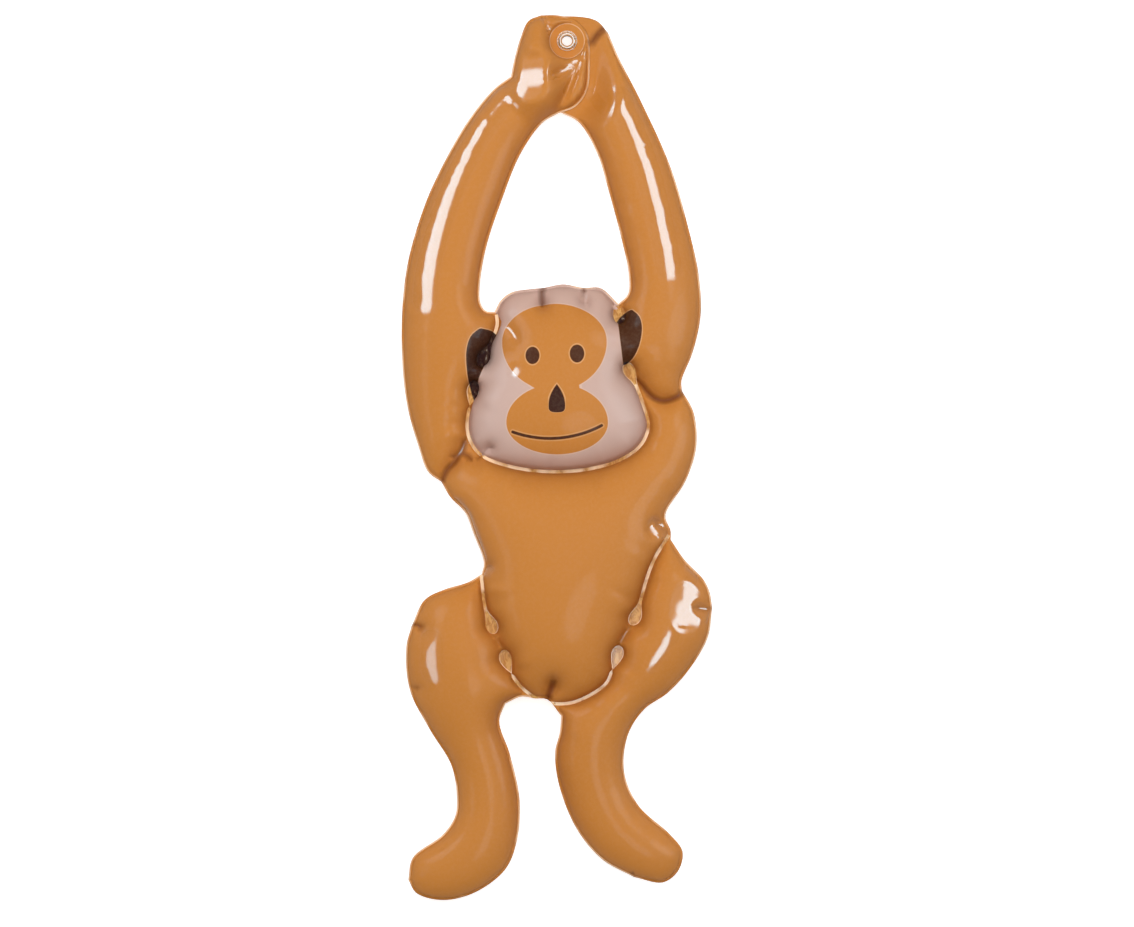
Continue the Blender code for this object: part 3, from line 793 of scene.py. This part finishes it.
def face_patch():
    """Outlines of the face's two egg-shaped halves."""
    turns = np.linspace(0, 2 * math.pi, 60, endpoint=False)
    x, y = np.cos(turns), np.sin(turns)
    return [
        at(np.column_stack([cx + across * x, cy + np.where(y > 0, up, down) * y]))
        for (cx, cy), across, up, down in FACE_LOBES
    ]


def point_values(points, in_seam, to_edge):
    """What the materials read at each point: distances in millimetres, and shares."""
    head_loop = joined(smooth_curve(HEAD_SIDES, STEP), smooth_curve(OUTLINE["head top"], STEP))
    ears = (reach_into(points, smooth_curve(ear, STEP)[:-1]) for ear in (LEFT_EAR, RIGHT_EAR))
    from_eyelet = np.linalg.norm(points - at(EYELET_AT), axis=1)
    satin = np.ones(len(points))
    for line, reach in GLOSSY:
        gap, _ = distance_to(points, smooth_curve(line, STEP))
        satin = np.minimum(satin, step_between(gap * 1000 / HEIGHT, 0.6 * reach, reach))
    return {
        "head": reach_into(points, head_loop),
        "ear": np.maximum(*ears),
        "patch": np.maximum(*(reach_into(points, loop) for loop in face_patch())),
        "disc": np.clip((HAND_DISC - from_eyelet) * 1000, -FARTHEST, FARTHEST),
        "satin": satin,
        "seam": in_seam,
        # painted shade: how much the colour is darkened along the folds' bottoms
        "dark": held_by_folds(points)[1],
        "edge": to_edge,
    }


class Shader:
    """A material's node tree, with short ways to write sums over its sockets."""

    def __init__(self, name):
        self.material = bpy.data.materials.new(name)
        self.material.use_nodes = True
        self.tree = self.material.node_tree
        self.principled = self.tree.nodes["Principled BSDF"]

    def put(self, socket, value):
        if isinstance(value, bpy.types.NodeSocket):
            self.tree.links.new(value, socket)
        elif socket.type == "RGBA":
            socket.default_value = (*value, 1)
        else:
            socket.default_value = value

    def node(self, kind, **inputs):
        """A new node, its inputs set or linked."""
        made = self.tree.nodes.new("ShaderNode" + kind)
        for name, value in inputs.items():
            self.put(made.inputs[name.replace("_", " ")], value)
        return made

    def math(self, operation, *values):
        made = self.node("Math")
        made.operation = operation
        for socket, value in zip(made.inputs, values):
            self.put(socket, value)
        return made.outputs[0]

    def times(self, first, second):
        return self.math("MULTIPLY", first, second)

    def less(self, first, second):
        return self.math("SUBTRACT", first, second)

    def off(self, value, middle):
        """How far a value is from another, either way."""
        return self.math("ABSOLUTE", self.less(value, middle))

    def length(self, across, along):
        return self.math("SQRT", self.math("ADD", self.times(across, across), self.times(along, along)))

    def ramp(self, value, least, most, low=0.0, high=1.0):
        made = self.node("MapRange", Value=value, From_Min=least, From_Max=most, To_Min=low, To_Max=high)
        made.interpolation_type = "SMOOTHSTEP"
        return made.outputs["Result"]

    def rim(self, reach, middle, half, fade, share):
        """A thin line at one value of a reach."""
        return self.ramp(self.off(reach, middle), half, fade, share, 0.0)

    def mix(self, share, first, second, blend="MIX"):
        made = self.node("Mix")
        made.data_type = "RGBA"
        made.blend_type = blend
        self.put(made.inputs["Factor"], share)
        sockets = [s for s in made.inputs if s.type == "RGBA"]
        self.put(sockets[0], first)
        self.put(sockets[1], second)
        return next(s for s in made.outputs if s.type == "RGBA")

    def place(self):
        return self.node("TexCoord").outputs["Object"]

    def sides(self):
        """Where a point is across and along the piece."""
        split = self.node("SeparateXYZ", Vector=self.place())
        return split.outputs["X"], split.outputs["Y"]

    def noise(self, scale, detail=2.0, rough=0.5, stretch=None, distortion=0.0):
        where = self.place()
        if stretch:
            where = self.node("Mapping", Vector=where, Scale=stretch).outputs["Vector"]
        made = self.node(
            "TexNoise", Vector=where, Scale=scale, Detail=detail, Roughness=rough, Distortion=distortion
        )
        return made.outputs["Fac"]

    def attribute(self, name):
        made = self.node("Attribute")
        made.attribute_name = name
        return made.outputs["Fac"]

    def bump(self, height, strength, distance):
        made = self.node("Bump", Height=height, Strength=strength, Distance=distance)
        self.put(self.principled.inputs["Normal"], made.outputs["Normal"])

    def set(self, **values):
        for name, value in values.items():
            self.put(self.principled.inputs[name.replace("_", " ")], value)


def film_finish(shader, colour):
    """Gloss, fine unevenness and faint cloudiness of blown-up vinyl film, with shade painted into the
    folds.
    """
    cloud = shader.noise(9.0, 3.0, 0.55)
    colour = shader.mix(shader.ramp(cloud, 0.3, 0.7, 0.0, 0.10), colour, (0.44, 0.15, 0.022))
    fine = shader.noise(420.0, 2.0, 0.6)
    colour = shader.mix(shader.ramp(fine, 0.35, 0.75, 0.0, 0.025), colour, (0.8, 0.6, 0.4))
    # painted shade: the colour is darkened along the folds' bottoms, where shade would fall
    painted_crease_shade = shader.mix(1.0, colour, (0.32, 0.21, 0.16), "MULTIPLY")
    colour = shader.mix(shader.attribute("dark"), colour, painted_crease_shade)
    satin = shader.attribute("satin")
    uneven = shader.ramp(shader.noise(60.0, 3.0, 0.6), 0.3, 0.75, 0.13, 0.22)
    shader.set(
        Base_Color=colour,
        Roughness=shader.math("ADD", uneven, shader.times(satin, 0.42)),
        Specular_IOR_Level=0.08,
        IOR=1.5,
        Coat_Weight=shader.ramp(satin, 0.0, 1.0, 1.0, 0.05),
        Coat_Roughness=0.10,
        Coat_IOR=1.5,
    )
    waves = shader.noise(38.0, 2.0, 0.5, (1.0, 0.6, 1.0))
    peel = shader.noise(900.0, 1.0, 0.5)
    shader.bump(shader.math("ADD", waves, shader.times(peel, 0.02)), 0.25, 0.0006)


def speckled(shader, dark, light, least, share):
    """A dark print with fine lighter grains."""
    grain = shader.noise(700.0, 2.0, 0.6)
    return shader.mix(shader.ramp(grain, least, 0.8, 0.0, share), dark, light)


def from_oval(shader, place, centre, across=1.0, along=1.0):
    """How far a place is from an oval's centre, as a share of the oval."""
    x, y = (
        shader.math("DIVIDE", shader.less(side, middle), half)
        for side, middle, half in zip(place, centre, (across, along))
    )
    return shader.length(x, y)


def head_and_ears(shader):
    """The head's pink round the face, and the ears, on the film's orange."""
    head = shader.ramp(shader.attribute("head"), -0.3, 0.3)
    patch_reach = shader.attribute("patch")
    off_patch = shader.less(1.0, shader.ramp(patch_reach, -PRINT_BLUR, PRINT_BLUR))
    colour = shader.mix(shader.times(head, off_patch), ORANGE, PINK)
    rim = shader.rim(patch_reach, PRINT_RIM_AT, 0.15, 0.5, 0.30)
    colour = shader.mix(shader.times(head, rim), colour, PATCH_RIM)
    ear_reach = shader.attribute("ear")
    off_head = shader.less(1.0, head)
    ear = shader.times(shader.ramp(ear_reach, -PRINT_BLUR, PRINT_BLUR), off_head)
    colour = shader.mix(ear, colour, speckled(shader, BROWN, (0.10, 0.05, 0.03), 0.55, 0.2))
    rim = shader.rim(ear_reach, PRINT_RIM_AT, 0.15, 0.5, 0.45)
    return shader.mix(shader.times(rim, off_head), colour, EAR_RIM)


def eyes(shader, colour, place):
    dots, rims = 0.0, 0.0
    for centre, across, along in EYES:
        reach = from_oval(shader, place, centre, across, along)
        dots = shader.math("MAXIMUM", dots, shader.ramp(reach, 0.96, 1.04, 1.0, 0.0))
        rims = shader.math("MAXIMUM", rims, shader.rim(reach, 1.1, 0.03, 0.11, 0.35))
    colour = shader.mix(rims, colour, PRINT_RIM)
    return shader.mix(dots, colour, speckled(shader, EYE_BROWN, (0.11, 0.055, 0.03), 0.5, 0.25))


def nose(shader, colour, place):
    """Pointed above, its bottom corners rounded."""
    x, y = place
    aside = shader.math("DIVIDE", shader.off(x, NOSE_X), NOSE_HALF)
    up = shader.math("DIVIDE", shader.less(y, NOSE_WIDEST), NOSE_TOP - NOSE_WIDEST)
    down = shader.math("DIVIDE", shader.less(NOSE_WIDEST, y), NOSE_WIDEST - NOSE_BOTTOM)
    point = shader.math("POWER", shader.math("MAXIMUM", up, 0.0), 2.1)
    base = shader.math("POWER", shader.math("MAXIMUM", down, 0.0), 3.0)
    upper = shader.math("ADD", aside, point)
    lower = shader.math("ADD", shader.math("POWER", aside, 3.0), base)
    reach = shader.math("MAXIMUM", upper, lower)
    colour = shader.mix(shader.rim(reach, 1.12, 0.03, 0.12, 0.35), colour, PRINT_RIM)
    brown = speckled(shader, NOSE_BROWN, (0.09, 0.04, 0.02), 0.5, 0.2)
    return shader.mix(shader.ramp(reach, 0.95, 1.05, 1.0, 0.0), colour, brown)


def circle_through(a, b, c):
    """Centre and radius of the circle through three points."""
    far_a, far_b, far_c = (x**2 + y**2 for x, y in (a, b, c))
    twice = 2 * (a[0] * (b[1] - c[1]) + b[0] * (c[1] - a[1]) + c[0] * (a[1] - b[1]))
    x = (far_a * (b[1] - c[1]) + far_b * (c[1] - a[1]) + far_c * (a[1] - b[1])) / twice
    y = (far_a * (c[0] - b[0]) + far_b * (a[0] - c[0]) + far_c * (b[0] - a[0])) / twice
    return (x, y), math.hypot(a[0] - x, a[1] - y)


def mouth(shader, colour, place):
    """A stroke with round ends along the circle through three points."""
    x, y = place
    left, _, right = MOUTH
    centre, radius = circle_through(*MOUTH)
    off_circle = shader.off(from_oval(shader, place, centre), radius)
    after_left = shader.ramp(x, left[0] - 0.1, left[0] + 0.1)
    before_right = shader.ramp(x, right[0] - 0.1, right[0] + 0.1, 1.0, 0.0)
    below_centre = shader.ramp(y, centre[1] - 1.0, centre[1], 1.0, 0.0)
    on_arc = shader.times(shader.times(after_left, before_right), below_centre)
    gap = shader.math("ADD", off_circle, shader.times(shader.less(1.0, on_arc), 50.0))
    for end in (left, right):
        gap = shader.math("MINIMUM", gap, from_oval(shader, place, end))
    colour = shader.mix(shader.rim(gap, MOUTH_HALF + 0.9, 0.2, 1.0, 0.25), colour, PRINT_RIM)
    stroke = shader.ramp(gap, MOUTH_HALF - 0.25, MOUTH_HALF + 0.25, 1.0, 0.0)
    return shader.mix(stroke, colour, MOUTH_BROWN)


def printed_film(shift):
    """The front: orange film with the head, the ears and the face printed on it."""
    shader = Shader("printed_film")
    place = [
        shader.times(shader.less(side, float(moved)), 1000 / HEIGHT)
        for side, moved in zip(shader.sides(), shift)
    ]
    colour = head_and_ears(shader)
    for feature in (eyes, nose, mouth):
        colour = feature(shader, colour, place)
    glint = shader.ramp(shader.noise(26.0, 2.0), 0.44, 0.60)
    at_edge = shader.times(glint, shader.ramp(shader.attribute("edge"), 0.5, 1.3, 0.9, 0.0))
    colour = shader.mix(at_edge, colour, EDGE_GLINT)
    # painted highlight: a pale line round the edge of the welded disc by the eyelet
    colour = shader.mix(shader.rim(shader.attribute("disc"), 0.0, 0.15, 0.45, 0.55), colour, DISC_RING_HIGHLIGHT)
    film_finish(shader, colour)
    return shader.material


def plain_film():
    """The back, with no print."""
    shader = Shader("plain_film")
    film_finish(shader, ORANGE)
    return shader.material


def weld_film():
    """Film pressed flat and clear at the welds, with highlights painted along their edges and glints
    painted on the brown welds in the ears.
    """
    shader = Shader("welded_film")
    streak = shader.noise(330.0, 3.0, 0.65, (1.0, 0.45, 1.0), 0.8)
    colour = shader.mix(shader.ramp(streak, 0.40, 0.62), (0.42, 0.17, 0.032), WELD_GOLD)
    # painted highlight: a pale line along the inner edges of the welds and drops, broken up by noise
    rim = shader.ramp(shader.attribute("seam"), 0.1, 0.7, 0.85, 0.0)
    wide = shader.ramp(shader.noise(70.0, 1.0), 0.4, 0.6)
    colour = shader.mix(shader.times(rim, wide), colour, (0.92, 0.70, 0.46))
    ear = shader.ramp(shader.attribute("ear"), -0.5, 0.3)
    dark = shader.mix(shader.ramp(streak, 0.45, 0.75), BROWN, (0.10, 0.05, 0.025))
    # painted glints: pale flecks on the brown welds in the ears
    dark = shader.mix(shader.ramp(streak, 0.63, 0.70, 0.0, 0.9), dark, (0.42, 0.36, 0.31))
    shader.set(
        Base_Color=shader.mix(ear, colour, dark),
        Roughness=0.25,
        Specular_IOR_Level=0.2,
        Coat_Weight=shader.ramp(ear, 0.0, 1.0, 0.16, 0.04),
        Coat_Roughness=0.05,
    )
    grain = shader.noise(520.0, 2.0, 0.6)
    shader.bump(shader.math("ADD", streak, shader.times(grain, 0.3)), 0.8, 0.0006)
    return shader.material


def clear_vinyl():
    """Moulded vinyl, milky at its lip and rim, with the film's colour in its bore."""
    shader = Shader("clear_moulded_vinyl")
    cloud = shader.ramp(shader.noise(300.0, 2.0), 0.3, 0.7)
    tint = shader.mix(cloud, (0.97, 0.90, 0.82), (1.0, 0.96, 0.90))
    radius = shader.length(*shader.sides())
    lip = shader.ramp(radius, EYELET_LIP_RADIUS - 0.0004, EYELET_LIP_RADIUS + 0.0002, 1.0, 0.0)
    rim = shader.ramp(radius, EYELET_FLANGE - 0.0005, EYELET_FLANGE - 0.0001)
    milky = shader.math("MAXIMUM", lip, rim)
    bore = shader.ramp(radius, EYELET_BARREL - 0.0002, EYELET_BARREL + 0.0003, 1.0, 0.0)
    shader.set(
        Base_Color=shader.mix(bore, shader.mix(milky, tint, (0.93, 0.80, 0.69)), (0.50, 0.24, 0.08)),
        Roughness=shader.ramp(shader.noise(200.0, 2.0), 0.3, 0.7, 0.02, 0.07),
        Transmission_Weight=shader.ramp(milky, 0.0, 1.0, 1.0, 0.15),
        IOR=1.45,
        Coat_Weight=0.3,
    )
    shader.bump(shader.noise(240.0, 2.0), 0.2, 0.0003)
    return shader.material


def new_object(name, data, place=(0, 0, 0)):
    """A new object in the scene."""
    made = bpy.data.objects.new(name, data)
    made.location = place
    bpy.context.scene.collection.objects.link(made)
    return made


def make_film():
    """The film as one piece, centred over the origin, and how far it was moved for that."""
    points, faces, looks, pressed, flat_points, in_seam, to_edge = film()
    used = sorted({k for face in faces for k in face})
    shift = -(points[used, :2].min(axis=0) + points[used, :2].max(axis=0)) / 2
    moved = points[used] + np.array([*shift, 0])
    new_place = {k: n for n, k in enumerate(used)}
    mesh = bpy.data.meshes.new("inflated_film")
    mesh.from_pydata(moved.tolist(), [], [tuple(new_place[k] for k in face) for face in faces])
    for material in (printed_film(shift), plain_film(), weld_film()):
        mesh.materials.append(material)
    mesh.polygons.foreach_set("material_index", looks)
    mesh.shade_smooth()
    crease(mesh, pressed)
    on_sheet = np.array(used) % len(flat_points)
    at_back = np.array(used) >= len(flat_points)
    for name, given in point_values(flat_points, in_seam, to_edge).items():
        at_points = given[on_sheet]
        if name == "satin":
            at_points = np.where(at_back, 0.6 * at_points, at_points)
        values = mesh.attributes.new(name, "FLOAT", "POINT")
        values.data.foreach_set("value", at_points.astype(np.float32))
    body = new_object("inflated_film", mesh)
    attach(body, "root")
    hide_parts("inflated_body")
    return shift


def with_round_corners(profile):
    """The same closed profile, each corner turned into a small curve."""
    rounded = []
    for before, corner, after in zip(np.roll(profile, 1, axis=0), profile, np.roll(profile, -1, axis=0)):
        to_before, to_after = before - corner, after - corner
        behind, ahead = np.linalg.norm(to_before), np.linalg.norm(to_after)
        cut_back = min(EYELET_EDGE, 0.4 * behind, 0.4 * ahead)
        start = corner + to_before / behind * cut_back
        end = corner + to_after / ahead * cut_back
        for t in (0, 0.33, 0.67, 1):
            rounded.append((1 - t) ** 2 * start + 2 * t * (1 - t) * corner + t * t * end)
    return rounded


def make_eyelet(shift):
    """The ring through both hands: a barrel between two flanges, with a lip in front."""
    under = HAND_GAP / 2 + SLAB + EYELET_CLEARANCE
    top = under + EYELET_FLANGE_THICK
    lip = top + EYELET_LIP
    rounded = with_round_corners(np.array([
        (EYELET_HOLE, lip), (EYELET_LIP_RADIUS, lip), (EYELET_LIP_RADIUS, top), (EYELET_FLANGE, top),
        (EYELET_FLANGE, under), (EYELET_BARREL, under), (EYELET_BARREL, -under),
        (EYELET_FLANGE, -under), (EYELET_FLANGE, -top), (EYELET_HOLE, -top),
    ]))
    turns = [2 * math.pi * k / EYELET_SIDES for k in range(EYELET_SIDES)]
    points = [(r * math.cos(turn), r * math.sin(turn), z) for turn in turns for r, z in rounded]
    count = len(rounded)
    faces = []
    for k in range(EYELET_SIDES):
        near, far = k * count, (k + 1) % EYELET_SIDES * count
        for j in range(count):
            n = (j + 1) % count
            faces.append((near + j, near + n, far + n, far + j))
    mesh = bpy.data.meshes.new("eyelet_ring")
    mesh.from_pydata(points, [], faces)
    mesh.materials.append(clear_vinyl())
    mesh.shade_smooth()
    ring = new_object("eyelet_ring", mesh, (*(at(EYELET_AT) + shift), EYELET_LEVEL))
    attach(ring, "root")
    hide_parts("hanging_eyelet")


def make_floor():
    """Pale floor that is seen from above only, and not in the gloss."""
    bpy.ops.mesh.primitive_plane_add(size=12, location=(0, 0, -0.0002))
    floor = bpy.context.object
    floor.name = "floor"
    paper = Shader("white_floor")
    grey = paper.ramp(paper.noise(3.0, 2.0), 0.3, 0.7)
    from_below = paper.node("NewGeometry").outputs["Backfacing"]
    paper.set(
        Base_Color=paper.mix(grey, (0.58, 0.58, 0.58), (0.62, 0.62, 0.62)),
        Roughness=0.9,
        Specular_IOR_Level=0.1,
        Emission_Color=(1.0, 1.0, 1.0),
        Emission_Strength=0.75,
        Alpha=paper.less(1.0, from_below),
    )
    floor.data.materials.append(paper.material)
    floor.visible_glossy = False


def softbox(name, place, target, width, height, radiance, in_gloss=True):
    """A lit oval that faces a target: seen in gloss alone, or lighting the shade alone."""
    light = bpy.data.lights.new(name, "AREA")
    light.shape = "ELLIPSE"
    light.size, light.size_y = width, height
    light.energy = math.pi * (math.pi / 4 * width * height) * radiance
    light.color = COOL_WHITE if in_gloss else (1.0, 1.0, 1.0)
    lamp = new_object(name, light, place)
    lamp.rotation_euler = (Vector(target) - Vector(place)).to_track_quat("-Z", "Y").to_euler()
    lamp.visible_camera = False
    lamp.visible_glossy = in_gloss
    lamp.visible_diffuse = not in_gloss


def make_light():
    """An even sky, a fill from above, and the softboxes that the highlights show."""
    world = bpy.data.worlds.new("studio")
    bpy.context.scene.world = world
    world.use_nodes = True
    sky = world.node_tree.nodes["Background"].inputs
    sky["Color"].default_value = (1, 1, 1, 1)
    sky["Strength"].default_value = 0.34
    softbox("overhead_fill", (0, 0.42, 1.8), (0, 0.25, 0), 1.5, 1.5, 5.6, in_gloss=False)
    softbox("left_softbox", (-1.29, 0.88, 0.79), (-0.09, 0.88, 0.03), 1.2, 0.95, LAMP)
    softbox("right_softbox", (1.01, 0.90, 1.21), (0.085, 0.90, 0.03), 0.86, 0.80, LAMP)
    softbox("left_low_strip", (-1.29, -0.33, 0.75), (-0.085, -0.33, 0.03), 0.95, 0.50, DIM_LAMP)
    softbox("right_low_softbox", (1.23, 0.05, 0.64), (0.08, 0.05, 0.03), 0.75, 1.15, LAMP)
    softbox("front_softbox", (0.41, -0.63, 1.63), (0.07, -0.15, 0.03), 0.75, 0.65, LAMP)


def make_camera():
    """A camera straight above, as the photograph looks at the front."""
    camera = bpy.data.cameras.new("camera")
    camera.lens = 116.2
    scene = bpy.context.scene
    scene.camera = new_object("camera", camera, (0.00683, -0.00395, 2.5))
    scene.view_settings.view_transform = "Standard"
    scene.view_settings.look = "None"


make_eyelet(make_film())
make_floor()
make_light()
make_camera()
